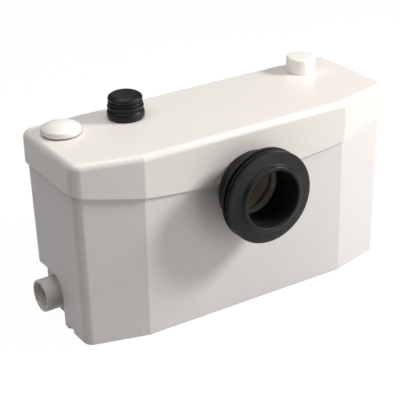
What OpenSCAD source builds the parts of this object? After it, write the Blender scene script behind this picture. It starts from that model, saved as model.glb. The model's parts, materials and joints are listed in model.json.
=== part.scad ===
// Macerator toilet pump: a moulded tank and lid that hold a grinder basket, a motor, a pump,
// a pressure switch and their inlets and outlets. Millimetres, +Z up.
// The origin is on the floor under the middle of the tank. The pan inlet faces -Y.

/* [Housing] */
// Length over the lid, end to end
housing_l = 510; // [480:1:580]
// Depth over the lid, wall side to front panel
housing_d = 180; // [180:1:210]
// Height from the floor to the top of the lid
housing_h = 269; // [264:1:300]
// Wall thickness of tank and lid
wall = 3; // [2.5:0.1:3.6]
// Thickness of the tank floor
floor_t = 4; // [3:0.5:4.5]
// Side gap between the lid skirt and the tank
lid_gap = 1; // [0.6:0.1:1.6]
// Width of the flat front panel
front_flat = 324; // [280:1:350]
// How far the angled front panels fall back at the ends
panel_fall = 24; // [16:1:32]
// Corner radius at the wall side
back_corner_r = 22; // [14:1:30]
// Corner radius between an end and its angled panel
end_corner_r = 18; // [12:1:28]
// Corner radius between the flat panel and an angled panel
front_corner_r = 10; // [6:1:20]
// Radius round the top edge of the lid
lid_edge_r = 9; // [6:0.5:12]
// Draft of the tank ends, top to bottom
end_draft = 4; // [3:0.5:12]
// Draft of the tank front, top to bottom
front_draft = 1.5; // [1:0.5:2.5]
// Draft of the tank back, top to bottom
back_draft = 2.5; // [1:0.5:4]
// Height of the lid's lower edge at the middle of the front
seam_mid = 199; // [190:1:205]
// Rise of the lid's lower edge from the middle to the ends
seam_rise = 27; // [10:1:30]
// Height of the lid gasket
gasket_h = 3; // [2:0.5:5]

/* [Pan inlet] */
// Sideways place of the pan inlet
inlet_x = 1; // [0:1:20]
// Height of the pan inlet axis
inlet_z = 184; // [180:1:188]
// Bore of the tank's pan spigot
inlet_bore = 80; // [76:1:82]
// Reach of the pan spigot past the lid front
spigot_out = 14; // [10:0.5:16]
// Bore of the rubber sleeve
sleeve_bore = 81; // [78:0.5:84]
// Diameter of the sleeve's front flange
sleeve_flange_d = 130.5; // [124:0.5:140]
// Diameter of the sleeve's rear collar
sleeve_collar_d = 108; // [104:0.5:116]
// Length of the sleeve
sleeve_l = 54; // [48:1:60]

/* [Side inlets] */
// Outside diameter of a side inlet
stub_d = 45; // [40:1:46]
// Bore of a side inlet
stub_bore = 36; // [32:1:38]
// Reach of a side inlet past the lid end
stub_out = 7; // [2:1:20]
// Distance of the side inlets behind the middle
stub_y = 45; // [40:1:48]
// Height of the side inlets
stub_z = 33; // [33:1:40]
// Width of the arched corner pocket round a side inlet
pocket_w = 86; // [80:1:90]
// Height of the corner pocket
pocket_h = 74; // [70:1:77]
// Radius of the corner pocket's upper corners
pocket_r = 27; // [20:1:34]
// Depth of the corner pocket from the lid end
pocket_in = 24; // [18:1:30]
// Width of the floor-fixing notch in an end
notch_w = 16; // [12:1:24]
// Height of the floor-fixing notch
notch_h = 7; // [5:0.5:12]

/* [Lid ports] */
// Distance of the discharge and the vent from the wall side
port_back = 49.5; // [48:0.5:50]
// Sideways place of the discharge port
discharge_x = -115; // [-118:1:-112]
// Outside diameter of the discharge spigot
discharge_d = 34; // [32:1:35]
// Base diameter of the discharge boot
boot_d = 51; // [48:1:58]
// Height of the discharge boot
boot_h = 32.5; // [28:0.5:40]
// Distance of the vent from the left end
vent_in = 41; // [41:1:60]
// Diameter of the vent cap
vent_d = 54.5; // [50:0.5:60]
// Air gap under the rim of the vent cap
vent_gap = 2.5; // [1.5:0.5:4]
// Distance of the upper inlet from the right end
upper_in = 69; // [60:1:74]
// Distance of the upper inlet from the wall side
upper_back = 42; // [38:0.5:46]
// Outside diameter of the upper inlet spigot
upper_d = 35; // [32:1:40]
// Height of the upper inlet cap
upper_cap_h = 23.5; // [16:0.5:28]

/* [Motor and pump] */
// Diameter of the motor can
motor_d = 84; // [80:1:84]
// Diameter of the motor shaft
shaft_d = 10; // [8:0.5:12]
// Outside diameter of the ball bearings
bearing_d = 26; // [24:1:28]
// Height of a ball bearing
bearing_h = 9; // [7:1:11]
// Diameter of the pump impeller
impeller_d = 66; // [56:1:70]
// Height of the pump impeller
impeller_h = 12; // [9:1:14]
// Number of impeller vanes
vane_count = 6; // [4:1:8]
// Height of the pump feet, which is the suction gap
pump_feet = 10; // [7:1:14]
// Wall of the pump casing
pump_wall = 3; // [2.5:0.5:4]
// Wall of the grinder basket
basket_wall = 2.5; // [2:0.5:3]
// Width of a slot in the grinder basket
slot_w = 4; // [3:0.5:5]
// Thickness of the motor plate
plate_t = 5; // [5:0.5:8]
// Diameter of the start capacitor
capacitor_d = 35; // [30:1:38]
// Height of the start capacitor
capacitor_h = 72; // [55:1:80]

/* [Pressure switch] */
// Sideways place of the pressure tube
switch_x = 140; // [130:1:150]
// Place of the pressure tube behind the middle
switch_y = 0; // [-15:1:10]
// Outside diameter of the pressure tube
tube_d = 32; // [28:1:36]
// Height of the pressure tube
tube_h = 160; // [140:1:165]
// Diameter of the switch diaphragm
diaphragm_d = 70; // [60:1:76]
// Travel of the switch plunger
plunger_travel = 3; // [2:0.5:4]

/* [Clearances] */
// Radial clearance of a running shaft or pin
run_gap = 0.05; // [0.03:0.01:0.08]
// Radial clearance of a pushed-together joint
push_gap = 0.15; // [0.1:0.05:0.25]
// Gap between a closed flap and its seat
seat_gap = 0.3; // [0.2:0.05:0.5]
// Axial gap either side of the impeller
impeller_gap = 1; // [0.6:0.1:1.5]

/* [Hidden] */
$fn = 64;
eps = 0.01;
far = 40;

// Housing levels and outlines
half_l = housing_l / 2;
lid_back = housing_d / 2;
lid_front = -housing_d / 2;
lid_under = housing_h - wall;
rim_drop = 26;
rim_z = lid_under - rim_drop;
tank_inset = wall + lid_gap;
tank_foot_r = 3;
panel_turn = atan2(panel_fall, half_l - front_flat / 2);
seam_r = (half_l * half_l + seam_rise * seam_rise) / (2 * seam_rise);
pocket_x = half_l - pocket_in;
pocket_inside_x = pocket_x - wall;
notch_y = -15;

// Pan inlet
spigot_wall = 3.5;
spigot_r = inlet_bore / 2 + spigot_wall;
sleeve_gap = 1;
sleeve_back = lid_front - sleeve_gap;
notch_gap = 1.5;
chute_in = 15;
chute_front = lid_front + chute_in;
chute_l = 34;

// Lid ports
port_y = lid_back - port_back;
vent_x = -half_l + vent_in;
upper_x = half_l - upper_in;
upper_y = lid_back - upper_back;
discharge_r = discharge_d / 2;
discharge_wall = 3.5;
upper_r = upper_d / 2;
upper_wall = 2.5;
upper_cap_wall = 3;
port_drop = 22;
port_flange = 6;
port_flange_t = 3;
well_r = 20;
well_wall = 2;
well_depth = 16;
well_hole_r = 8;
filter_h = 8;
filter_gap = 0.3;

// Discharge line
socket_wall = 2;
socket_r = discharge_r + push_gap + socket_wall;
socket_top = lid_under - 8;
plug_end = lid_under - port_drop - 8;
riser_wall = 3;
riser_r = 16;
valve_h = 46;
valve_r = 19;
valve_wall = 2.5;
seat_t = 3;
seat_z = 6;
seat_hole_r = 9;
valve_flap_r = 10.5;
valve_flap_t = 2;
valve_pin_r = 1;
valve_hinge_x = 12.5;
ring_r = 1.1;

// Motor, basket and pump, from the floor up
motor_r = motor_d / 2;
motor_gap = 5;
motor_inlet_gap = 8;
motor_x = inlet_x - inlet_bore / 2 - motor_inlet_gap - motor_r;
riser_off = socket_r + motor_gap + motor_r;
riser_side = discharge_x - motor_x;
motor_y = port_y - sqrt(riser_off * riser_off - riser_side * riser_side);
shaft_r = shaft_d / 2;
bearing_r = bearing_d / 2;
pump_z = floor_t + pump_feet;
impeller_r = impeller_d / 2;
impeller_z = pump_z + pump_wall + impeller_gap;
cover_z = impeller_z + impeller_h + impeller_gap;
basket_z = cover_z + pump_wall;
basket_gap = 4;
basket_r = motor_r + basket_gap;
basket_floor_t = 3;
basket_drop = 6;
basket_top = inlet_z - inlet_bore / 2 - basket_drop;
cutter_up = 5;
cutter_z = basket_z + basket_floor_t + cutter_up;
cutter_h = 12;
cutter_hub = 5;
cutter_gap = 4;
cutter_reach = basket_r - basket_wall - cutter_gap;
blade_w = 16;
blade_t = 3;
blade_up = 2;
tooth_in = 7;
tooth_h = 36;
plate_z = basket_top;
can_z = plate_z + plate_t;
motor_cap_h = 10;
block_h = 14;
block_head = 10;
motor_top = lid_under - block_head - block_h;
can_top = motor_top - motor_cap_h;
can_wall = 3;
boss_wall = 3.5;
cap_roof = 4;
bearing_top_z = can_top - bearing_h - 4;
shaft_low = impeller_z - 6;
shaft_high = bearing_top_z + bearing_h + 3;
boss_lip = 1;
coil_h = 11;
coil_gap = 3;
stator_z = can_z + bearing_h + boss_lip + coil_gap + coil_h;
stator_h = bearing_top_z - boss_lip - coil_gap - coil_h - stator_z;
rotor_r = 23.5;
rotor_gap = 0.5;
capacitor_r = capacitor_d / 2;
capacitor_gap = 4;
capacitor_x = motor_x - motor_r - capacitor_gap - capacitor_r;
post_r = 5;
post_gap = 2;
post_front = 30;
post_back = 36;
post_off = basket_r + post_r + post_gap;
posts = [
    [motor_x - post_front, motor_y - post_off],
    [motor_x + post_front, motor_y - post_off],
    [motor_x + post_back, motor_y + post_off],
    [capacitor_x, motor_y - capacitor_r - 2 * post_r - post_gap]
];
screw_r = 2;
screw_l = 12;

// Pump scroll and the line from it to the discharge riser
scroll_r = impeller_r + 3;
scroll_growth = 14;
outlet_r = scroll_r + scroll_growth / 2;
riser_rel = [riser_side, port_y - motor_y];
outlet_run = sqrt(riser_rel * riser_rel - outlet_r * outlet_r);
outlet_turn = atan2(riser_rel.y, riser_rel.x) - atan2(outlet_run, outlet_r);
outlet_end_r = valve_r - pump_wall;

// Side inlets and their flaps
stub_r = stub_d / 2;
stub_neck_r = stub_r + 1;
stub_neck_out = 0.5;
stub_flange_t = 3;
stub_flange_r = stub_r + 6;
stub_end = pocket_inside_x - stub_flange_t - 2;
flap_r = stub_bore / 2 + 3;
flap_t = 3;
flap_boss_r = 10;
flap_boss_t = 4;
flap_pin_r = 1.5;
hinge_up = stub_r + 5;
hinge_in = stub_end - seat_gap - flap_t / 2;
knuckle_r = 3.2;
knuckle_half = 6;
ear_gap = 0.4;
ear_t = 3.6;

// Pressure switch
switch_tube_r = tube_d / 2;
switch_wall = 3;
diaphragm_r = diaphragm_d / 2;
diaphragm_t = 2;
diaphragm_z = floor_t + tube_h;
switch_cover_z = diaphragm_z + diaphragm_t;
switch_cover_h = 16;
plunger_r = 4;
plunger_foot_r = 13;
plunger_foot_t = 3;
plunger_top = switch_cover_z + switch_cover_h + 8;
switch_z = plunger_top + plunger_travel + 0.5;
switch_size = [28, 10, 17];

// Cable gland
gland_y = 15;
gland_z = 178;
gland_r = 8;
gland_pad_r = 14;
gland_hex_r = 12;
gland_face = half_l - tank_inset + 0.5;
gland_pad_t = 9;
gland_inside = gland_face - gland_pad_t;

shell_white = [0.93, 0.92, 0.90];
cap_white = [0.97, 0.96, 0.94];
rubber_black = [0.13, 0.13, 0.13];
pump_grey = [0.55, 0.56, 0.58];
steel = [0.72, 0.73, 0.75];

// Share of the draft that is left at a height above the floor
function draft_at(z) = 1 - z / rim_z;

// Depth of the tank's outer front face at a height
function front_face(z) = lid_front + tank_inset + front_draft * draft_at(z);

function unit(v) = v / norm(v);

// Points round one corner, from the side of a to the side of b
function corner_arc(a, p, b, r, n) =
    let (
        u = unit(a - p),
        w = unit(b - p),
        half = acos(u * w) / 2,
        centre = p + unit(u + w) * r / sin(half),
        start = p + u * r / tan(half) - centre,
        sweep = 180 - 2 * half
    )
    [for (i = [0:n])
        let (t = sweep * i / n)
        centre + [start.x * cos(t) - start.y * sin(t), start.x * sin(t) + start.y * cos(t)]];

// Outline of the housing seen from above, drawn in by inset, with k of the draft
function plan(inset, k = 0) =
    let (
        end_x = half_l - inset - k * end_draft,
        back_y = lid_back - inset - k * back_draft,
        front_y = lid_front + inset + k * front_draft,
        panel_x = front_flat / 2 - inset * tan(panel_turn / 2),
        panel_y = lid_front + panel_fall + inset * tan(45 - panel_turn / 2) + k * front_draft,
        corners = [[panel_x, front_y], [end_x, panel_y], [end_x, back_y],
                   [-end_x, back_y], [-end_x, panel_y], [-panel_x, front_y]],
        front_r = max(front_corner_r - inset, 2),
        end_r = max(end_corner_r - inset, 2),
        back_r = max(back_corner_r - inset, 2),
        radii = [front_r, end_r, back_r, back_r, end_r, front_r],
        steps = [4, 8, 10, 10, 8, 4]
    )
    [for (i = [0:5])
        each corner_arc(corners[(i + 5) % 6], corners[i], corners[(i + 1) % 6], radii[i], steps[i])];

// Solid through a stack of outlines, each given as [height, points]
module loft(stack) {
    count = len(stack[0][1]);
    layers = len(stack);
    points = [for (level = stack) for (p = level[1]) [p.x, p.y, level[0]]];
    sides = [for (j = [0:layers - 2]) for (i = [0:count - 1])
        let (
            low = j * count + i,
            low_next = j * count + (i + 1) % count
        )
        each [[low, low + count, low_next + count], [low, low_next + count, low_next]]];
    bottom = [for (i = [0:count - 1]) i];
    top = [for (i = [count - 1:-1:0]) (layers - 1) * count + i];
    polyhedron(points = points, faces = concat([bottom, top], sides), convexity = 6);
}

// Tube standing at the origin
module tube(r, bore_r, h) {
    difference() {
        cylinder(r = r, h = h);
        translate([0, 0, -eps])
            cylinder(r = bore_r, h = h + 2 * eps);
    }
}

// Half-profile of a turned band with its two outer edges rounded
module band(r0, r1, z0, z1, e) {
    translate([r0, z0])
        square([r1 - e - r0, z1 - z0]);
    translate([r0, z0 + e])
        square([r1 - r0, z1 - z0 - 2 * e]);
    translate([r1 - e, z0 + e])
        circle(r = e);
    translate([r1 - e, z1 - e])
        circle(r = e);
}

// Places children on the pan inlet axis, with their +Z towards the pan
module at_inlet(y) {
    translate([inlet_x, y, inlet_z])
        rotate([90, 0, 0])
            children();
}

// Places children on the left side inlet axis, with their +Z out of the tank
module at_stub(x) {
    translate([x, stub_y, stub_z])
        rotate([0, -90, 0])
            children();
}

module at_motor(z) {
    translate([motor_x, motor_y, z])
        children();
}

module at_discharge(z) {
    translate([discharge_x, port_y, z])
        children();
}

module at_upper(z) {
    translate([upper_x, upper_y, z])
        children();
}

module at_switch(z) {
    translate([switch_x, switch_y, z])
        children();
}

// Makes children at both ends of the housing
module both_ends() {
    children();
    mirror([1, 0, 0])
        children();
}

// Big drum whose underside is the lid's curved lower edge
module seam_drum() {
    translate([0, 0, seam_mid + seam_r])
        rotate([90, 0, 0])
            cylinder(r = seam_r, h = housing_d + far, center = true, $fn = 720);
}

// Corner pocket and floor notch at the left end, grown by g
module end_recess(g) {
    reach = half_l + far;
    flat = pocket_w - 2 * pocket_r;
    translate([-reach, 0, 0])
        rotate([90, 0, 90])
            linear_extrude(reach - pocket_x + g) {
                for (side = [-1, 1])
                    translate([stub_y + side * flat / 2, pocket_h - pocket_r])
                        circle(r = pocket_r + g, $fn = 96);
                translate([stub_y - flat / 2, -far])
                    square([flat, far + pocket_h + g]);
                translate([stub_y - pocket_w / 2 - g, -far])
                    square([pocket_w + 2 * g, far + pocket_h - pocket_r]);
            }
    translate([-reach, notch_y - notch_w / 2 - g, -far])
        cube([reach - pocket_x + g, notch_w + 2 * g, far + notch_h + g]);
}

module tank_outside() {
    foot = [for (t = [0:30:90])
        let (z = tank_foot_r * (1 - cos(t)))
        [z, plan(tank_inset + tank_foot_r * (1 - sin(t)), draft_at(z))]];
    loft(concat(foot, [[rim_z, plan(tank_inset)]]));
}

module tank_inside() {
    loft([
        [floor_t, plan(tank_inset + wall + 2, draft_at(floor_t))],
        [floor_t + 2, plan(tank_inset + wall, draft_at(floor_t + 2))],
        [rim_z + 1, plan(tank_inset + wall, draft_at(rim_z + 1))]
    ]);
}

module gland_pad() {
    translate([gland_inside, gland_y, gland_z])
        rotate([0, 90, 0])
            cylinder(r = gland_pad_r, h = gland_pad_t);
}

module tank() {
    spigot_back = front_face(inlet_z - spigot_r) + 0.2 * wall;
    spigot_l = spigot_back - lid_front + spigot_out;
    color(shell_white)
    difference() {
        union() {
            difference() {
                tank_outside();
                difference() {
                    tank_inside();
                    both_ends()
                        end_recess(wall);
                }
            }
            at_inlet(spigot_back)
                cylinder(r = spigot_r, h = spigot_l, $fn = 96);
            gland_pad();
        }
        both_ends()
            end_recess(0);
        at_inlet(spigot_back + far)
            cylinder(r = inlet_bore / 2, h = spigot_l + 2 * far, $fn = 96);
        both_ends()
            at_stub(-pocket_inside_x + far / 4)
                cylinder(r = stub_neck_r + push_gap, h = far / 2);
        translate([gland_inside - 1, gland_y, gland_z])
            rotate([0, 90, 0])
                cylinder(r = gland_r + push_gap, h = gland_pad_t + 2);
    }
}

module lid_outside() {
    edge = [for (t = [0:10:90])
        [housing_h - lid_edge_r * (1 - sin(t)), plan(lid_edge_r * (1 - cos(t)))]];
    loft(concat([[seam_mid - far, plan(0)]], edge));
}

module lid_inside() {
    r = lid_edge_r - wall;
    edge = [for (t = [0:30:90])
        [lid_under - r * (1 - sin(t)), plan(wall + r * (1 - cos(t)))]];
    loft(concat([[seam_mid - far - 1, plan(wall)]], edge));
}

// Rib that presses on the gasket all round the tank rim
module lid_rib() {
    translate([0, 0, rim_z + gasket_h])
        linear_extrude(lid_under - rim_z - gasket_h + eps)
            difference() {
                polygon(plan(tank_inset));
                polygon(plan(tank_inset + wall));
            }
}

module lid() {
    color(shell_white)
    difference() {
        union() {
            difference() {
                intersection() {
                    lid_outside();
                    seam_drum();
                }
                lid_inside();
            }
            lid_rib();
        }
        at_inlet(0)
            cylinder(r = spigot_r + notch_gap, h = housing_d, $fn = 96);
        translate([vent_x, port_y, lid_under - 1])
            cylinder(r = well_r + push_gap, h = wall + 2);
        at_discharge(lid_under - 1)
            cylinder(r = discharge_r + push_gap, h = wall + 2);
        at_upper(lid_under - 1)
            cylinder(r = upper_r + push_gap, h = wall + 2);
    }
}

module lid_gasket() {
    color(rubber_black)
    translate([0, 0, rim_z])
        linear_extrude(gasket_h)
            difference() {
                polygon(plan(tank_inset));
                polygon(plan(tank_inset + wall));
            }
}

module inlet_sleeve() {
    flange_r = sleeve_flange_d / 2;
    collar_r = sleeve_collar_d / 2;
    bore_r = sleeve_bore / 2;
    stop = spigot_out - sleeve_gap;
    sleeve_wall = 6;
    groove_r = max(bore_r, spigot_r) + sleeve_wall;
    lip_r = 3;
    lip_out = 8.5;
    lip_z = sleeve_l - lip_r;
    flange_t = 4.5;
    flange_z = sleeve_l - lip_out - flange_t;
    collar_l = 15;
    rib_t = 4.5;
    rib_z = (collar_l + flange_z - rib_t) / 2;
    rib_r = flange_r - 0.5;
    color(rubber_black)
    at_inlet(sleeve_back)
        rotate_extrude($fn = 128)
            difference() {
                union() {
                    square([groove_r, flange_z + flange_t]);
                    band(bore_r, collar_r, 0, collar_l, 2);
                    band(bore_r, rib_r, rib_z, rib_z + rib_t, 1.6);
                    band(bore_r, flange_r, flange_z, flange_z + flange_t, 1);
                    polygon([[0, flange_z + 1], [flange_r - 1, flange_z + flange_t - eps],
                             [bore_r + 2 * lip_r, lip_z], [0, lip_z]]);
                    translate([bore_r + lip_r, lip_z])
                        circle(r = lip_r);
                }
                translate([-far, -far])
                    square([far + spigot_r + push_gap, far + stop]);
                translate([-far, stop - eps])
                    square([far + bore_r, sleeve_l]);
            }
}

// Tube on a saddle that leads what comes through the spigot to the basket
module inlet_chute() {
    inside = inlet_bore / 2;
    outside = inside + basket_wall;
    drop = inlet_z - basket_top;
    saddle_l = 10;
    color([0.80, 0.81, 0.80])
    at_inlet(chute_front + chute_l)
        difference() {
            union() {
                cylinder(r = outside, h = chute_l, $fn = 96);
                translate([-outside, -drop, chute_l - saddle_l])
                    cube([2 * outside, drop, saddle_l]);
            }
            translate([0, 0, -1])
                cylinder(r = inside, h = chute_l + 2, $fn = 96);
        }
}

module side_inlet() {
    mouth = half_l + stub_out;
    length = mouth - stub_end;
    ear_in = knuckle_half + ear_gap;
    step_in = 9;
    step_t = 1.5;
    color(shell_white)
    difference() {
        union() {
            at_stub(-stub_end)
                cylinder(r = stub_r, h = length);
            at_stub(-pocket_inside_x + stub_flange_t)
                cylinder(r = stub_flange_r, h = stub_flange_t);
            at_stub(-pocket_inside_x + eps)
                cylinder(r = stub_neck_r, h = wall + stub_neck_out + eps);
            for (side = [-1, 1])
                translate([-pocket_inside_x + stub_flange_t - 1, stub_y + side * (ear_in + ear_t / 2),
                           stub_z + hinge_up])
                    rotate([90, 0, 0])
                        translate([0, 0, -ear_t / 2])
                            linear_extrude(ear_t) {
                                translate([0, -knuckle_r])
                                    square([pocket_inside_x - stub_flange_t + 1 - hinge_in, 2 * knuckle_r]);
                                translate([pocket_inside_x - stub_flange_t + 1 - hinge_in, 0])
                                    circle(r = knuckle_r);
                            }
        }
        at_stub(-stub_end + 1)
            cylinder(r = stub_bore / 2, h = length + 2);
        at_stub(-mouth + step_in)
            cylinder(r = stub_bore / 2 + step_t, h = step_in + stub_d / 4);
        translate([-hinge_in, stub_y + far, stub_z + hinge_up])
            rotate([90, 0, 0])
                cylinder(r = flap_pin_r, h = 2 * far);
    }
}

module left_inlet() {
    side_inlet();
}

module right_inlet() {
    mirror([1, 0, 0])
        side_inlet();
}

module side_flap() {
    face = -stub_end + seat_gap;
    color(rubber_black)
    difference() {
        union() {
            translate([face, stub_y, stub_z])
                rotate([0, 90, 0])
                    cylinder(r = flap_r, h = flap_t);
            translate([face + flap_t - eps, stub_y, stub_z])
                rotate([0, 90, 0])
                    cylinder(r = flap_boss_r, h = flap_boss_t);
            translate([face, stub_y - knuckle_half + 1, stub_z])
                cube([flap_t, 2 * knuckle_half - 2, hinge_up]);
            translate([-hinge_in, stub_y + knuckle_half, stub_z + hinge_up])
                rotate([90, 0, 0])
                    cylinder(r = knuckle_r, h = 2 * knuckle_half);
        }
        translate([-hinge_in, stub_y + far, stub_z + hinge_up])
            rotate([90, 0, 0])
                cylinder(r = flap_pin_r + run_gap, h = 2 * far);
    }
}

module left_flap() {
    side_flap();
}

module right_flap() {
    mirror([1, 0, 0])
        side_flap();
}

module flap_pins() {
    half = knuckle_half + ear_gap + ear_t;
    color(steel)
    both_ends()
        translate([-hinge_in, stub_y + half, stub_z + hinge_up])
            rotate([90, 0, 0])
                cylinder(r = flap_pin_r, h = 2 * half);
}

// Outline of the basket from the motor axis to the inlet axis
module basket_plan(r) {
    run = inlet_x - motor_x;
    circle(r = r);
    translate([run, 0])
        circle(r = r);
    translate([0, -r])
        square([run, 2 * r]);
}

module basket() {
    run = inlet_x - motor_x;
    height = basket_top - basket_z;
    slot_up = 8;
    slot_head = 14;
    slot_z = basket_floor_t + slot_up;
    slot_h = height - slot_z - slot_head;
    pitch = 3 * slot_w;
    straight = floor((run - 2 * slot_w) / pitch);
    foot_r = 5;
    ledge_front = front_face(basket_top) + wall + 0.6;
    ledge_w = inlet_bore + 2 * basket_wall + 2;
    color([0.80, 0.81, 0.80])
    at_motor(basket_z)
    difference() {
        union() {
            difference() {
                linear_extrude(height)
                    basket_plan(basket_r);
                translate([0, 0, basket_floor_t])
                    linear_extrude(height)
                        basket_plan(basket_r - basket_wall);
                for (i = [0:straight])
                    translate([(run - straight * pitch) / 2 + i * pitch - slot_w / 2, -basket_r - 1, slot_z])
                        cube([slot_w, 2 * basket_r + 2, slot_h]);
                for (turn = [-75:25:75]) {
                    translate([run, 0, slot_z])
                        rotate(turn)
                            translate([basket_r / 2, -slot_w / 2, 0])
                                cube([basket_r, slot_w, slot_h]);
                    translate([0, 0, slot_z])
                        rotate(180 + turn)
                            translate([basket_r / 2, -slot_w / 2, 0])
                                cube([basket_r, slot_w, slot_h]);
                }
            }
            for (side = [-1, 1])
                translate([run + basket_r / 3, side * basket_r / 2, floor_t - basket_z])
                    cylinder(r = foot_r, h = basket_z - floor_t + eps);
            translate([run - ledge_w / 2, ledge_front - motor_y, height - basket_wall])
                cube([ledge_w, motor_y - ledge_front - 0.7 * basket_r, basket_wall]);
        }
        translate([0, 0, -1])
            cylinder(r = shaft_r + 1, h = basket_floor_t + 2);
        translate([0, 0, basket_floor_t])
            linear_extrude(height)
                basket_plan(basket_r - basket_wall);
    }
}

// Spiral of the pump scroll, grown by g
function scroll(g) = [for (i = [0:48])
    let (turn = i / 48)
    (scroll_r + scroll_growth * turn + g) * [cos(360 * turn), sin(360 * turn)]];

module scroll_plan(g) {
    rotate(outlet_turn) {
        polygon(scroll(g));
        translate([scroll_r - g, -eps])
            square([scroll_growth + 2 * g, outlet_run]);
    }
    translate(riser_rel)
        circle(r = outlet_end_r + g);
}

module pump_casing() {
    foot_r = 5;
    eye_r = 15;
    color(pump_grey)
    at_motor(0) {
        difference() {
            translate([0, 0, pump_z])
                linear_extrude(cover_z - pump_z)
                    scroll_plan(pump_wall);
            translate([0, 0, pump_z + pump_wall])
                linear_extrude(cover_z)
                    scroll_plan(0);
            translate([0, 0, pump_z - 1])
                cylinder(r = eye_r, h = pump_wall + 2);
        }
        for (turn = [45:90:315])
            rotate(turn)
                translate([scroll_r - foot_r, 0, floor_t])
                    cylinder(r = foot_r, h = pump_feet + eps);
    }
}

module pump_cover() {
    color(pump_grey)
    at_motor(cover_z)
        difference() {
            linear_extrude(pump_wall)
                scroll_plan(pump_wall);
            translate([0, 0, -1])
                cylinder(r = shaft_r + 1, h = pump_wall + 2);
            translate([riser_rel.x, riser_rel.y, -1])
                cylinder(r = valve_r - valve_wall - 4, h = pump_wall + 2);
        }
}

// One curved impeller vane, from the hub to the rim
module vane() {
    bend = 0.75 * impeller_r;
    vane_t = 2.5;
    vane_inset = 0.5;
    intersection() {
        translate([bend, 0])
            difference() {
                circle(r = bend);
                circle(r = bend - vane_t);
            }
        translate([0, -impeller_r])
            square(impeller_r);
        difference() {
            circle(r = impeller_r - vane_inset);
            circle(r = shaft_r + 1);
        }
    }
}

module impeller() {
    disc_t = 3;
    hub_r = shaft_r + 4;
    color([0.35, 0.36, 0.38])
    at_motor(impeller_z)
        difference() {
            union() {
                translate([0, 0, impeller_h - disc_t])
                    cylinder(r = impeller_r, h = disc_t);
                cylinder(r = hub_r, h = impeller_h);
                linear_extrude(impeller_h - disc_t + eps)
                    for (i = [0:vane_count - 1])
                        rotate(360 * i / vane_count)
                            vane();
            }
            translate([0, 0, -1])
                cylinder(r = shaft_r, h = impeller_h + 2);
        }
}

module impeller_nut() {
    nut_r = shaft_r + 3.5;
    nut_h = 5;
    color(steel)
    at_motor(impeller_z - nut_h)
        difference() {
            cylinder(r = nut_r, h = nut_h, $fn = 6);
            translate([0, 0, -1])
                cylinder(r = shaft_r, h = nut_h + 2);
        }
}

module cutter() {
    color(steel)
    at_motor(cutter_z)
        difference() {
            union() {
                cylinder(r = shaft_r + cutter_hub, h = cutter_h);
                translate([0, 0, blade_up])
                    linear_extrude(blade_t)
                        intersection() {
                            translate([-cutter_reach, -blade_w / 2])
                                square([2 * cutter_reach, blade_w]);
                            circle(r = cutter_reach);
                        }
                for (turn = [0, 180])
                    rotate(turn)
                        translate([cutter_reach - tooth_in, -blade_w / 2, blade_up])
                            cube([blade_t, blade_w, tooth_h]);
            }
            translate([0, 0, -1])
                cylinder(r = shaft_r, h = cutter_h + 2);
        }
}

module motor_posts() {
    color(pump_grey)
    for (p = posts)
        translate([p.x, p.y, floor_t])
            difference() {
                cylinder(r = post_r, h = plate_z - floor_t);
                translate([0, 0, plate_z - floor_t - screw_l])
                    cylinder(r = screw_r, h = screw_l + 1);
            }
}

module motor_plate() {
    lug_r = post_r + 2;
    seal_r = shaft_r + 4;
    color(pump_grey)
    difference() {
        union() {
            translate([0, 0, plate_z])
                linear_extrude(plate_t) {
                    translate([motor_x, motor_y])
                        circle(r = basket_r);
                    translate([capacitor_x, motor_y])
                        circle(r = capacitor_r + 4);
                    translate([capacitor_x, motor_y - capacitor_r - 4])
                        square([motor_x - capacitor_x, 2 * capacitor_r + 8]);
                    for (p = posts) {
                        reach = p.y < motor_y ? p.y : motor_y;
                        translate([p.x, p.y])
                            circle(r = lug_r);
                        translate([p.x - lug_r, reach])
                            square([2 * lug_r, abs(p.y - motor_y)]);
                    }
                }
            at_motor(can_z)
                cylinder(r = bearing_r + boss_wall, h = bearing_h + boss_lip);
        }
        at_motor(can_z)
            cylinder(r = bearing_r, h = far);
        at_motor(plate_z - 1)
            cylinder(r = shaft_r + 1, h = far);
        at_motor(plate_z - 1)
            cylinder(r = seal_r, h = plate_t);
        for (p = posts)
            translate([p.x, p.y, plate_z - 1])
                cylinder(r = screw_r + push_gap, h = plate_t + 2);
    }
}

module motor_plate_screws() {
    head_r = 4;
    head_h = 3;
    color(steel)
    for (p = posts)
        translate([p.x, p.y, 0]) {
            translate([0, 0, can_z])
                cylinder(r = head_r, h = head_h);
            translate([0, 0, plate_z - screw_l + 1])
                cylinder(r = screw_r - run_gap, h = plate_t + screw_l);
        }
}

module motor_can() {
    color([0.62, 0.63, 0.65])
    at_motor(can_z)
        tube(motor_r, motor_r - can_wall, can_top - can_z);
}

module motor_cap() {
    boss_z = bearing_top_z - boss_lip;
    color([0.30, 0.31, 0.33])
    at_motor(0)
        difference() {
            union() {
                rotate_extrude()
                    difference() {
                        union() {
                            band(0, motor_r, can_top, motor_top, 3);
                            translate([0, can_top])
                                square([motor_r, motor_cap_h / 2]);
                        }
                        translate([-far, 0])
                            square([far + motor_r - can_wall, motor_top - cap_roof]);
                        translate([-2 * far, 0])
                            square([2 * far, 2 * motor_top]);
                    }
                translate([0, 0, boss_z])
                    cylinder(r = bearing_r + boss_wall, h = motor_top - cap_roof - boss_z + eps);
            }
            translate([0, 0, bearing_top_z - 2])
                cylinder(r = bearing_r, h = bearing_h + 2);
            translate([0, 0, bearing_top_z])
                cylinder(r = shaft_r + 1, h = shaft_high - bearing_top_z + 1);
        }
}

module stator() {
    color([0.45, 0.46, 0.48])
    at_motor(stator_z)
        tube(motor_r - can_wall, rotor_r + rotor_gap, stator_h);
}

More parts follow.
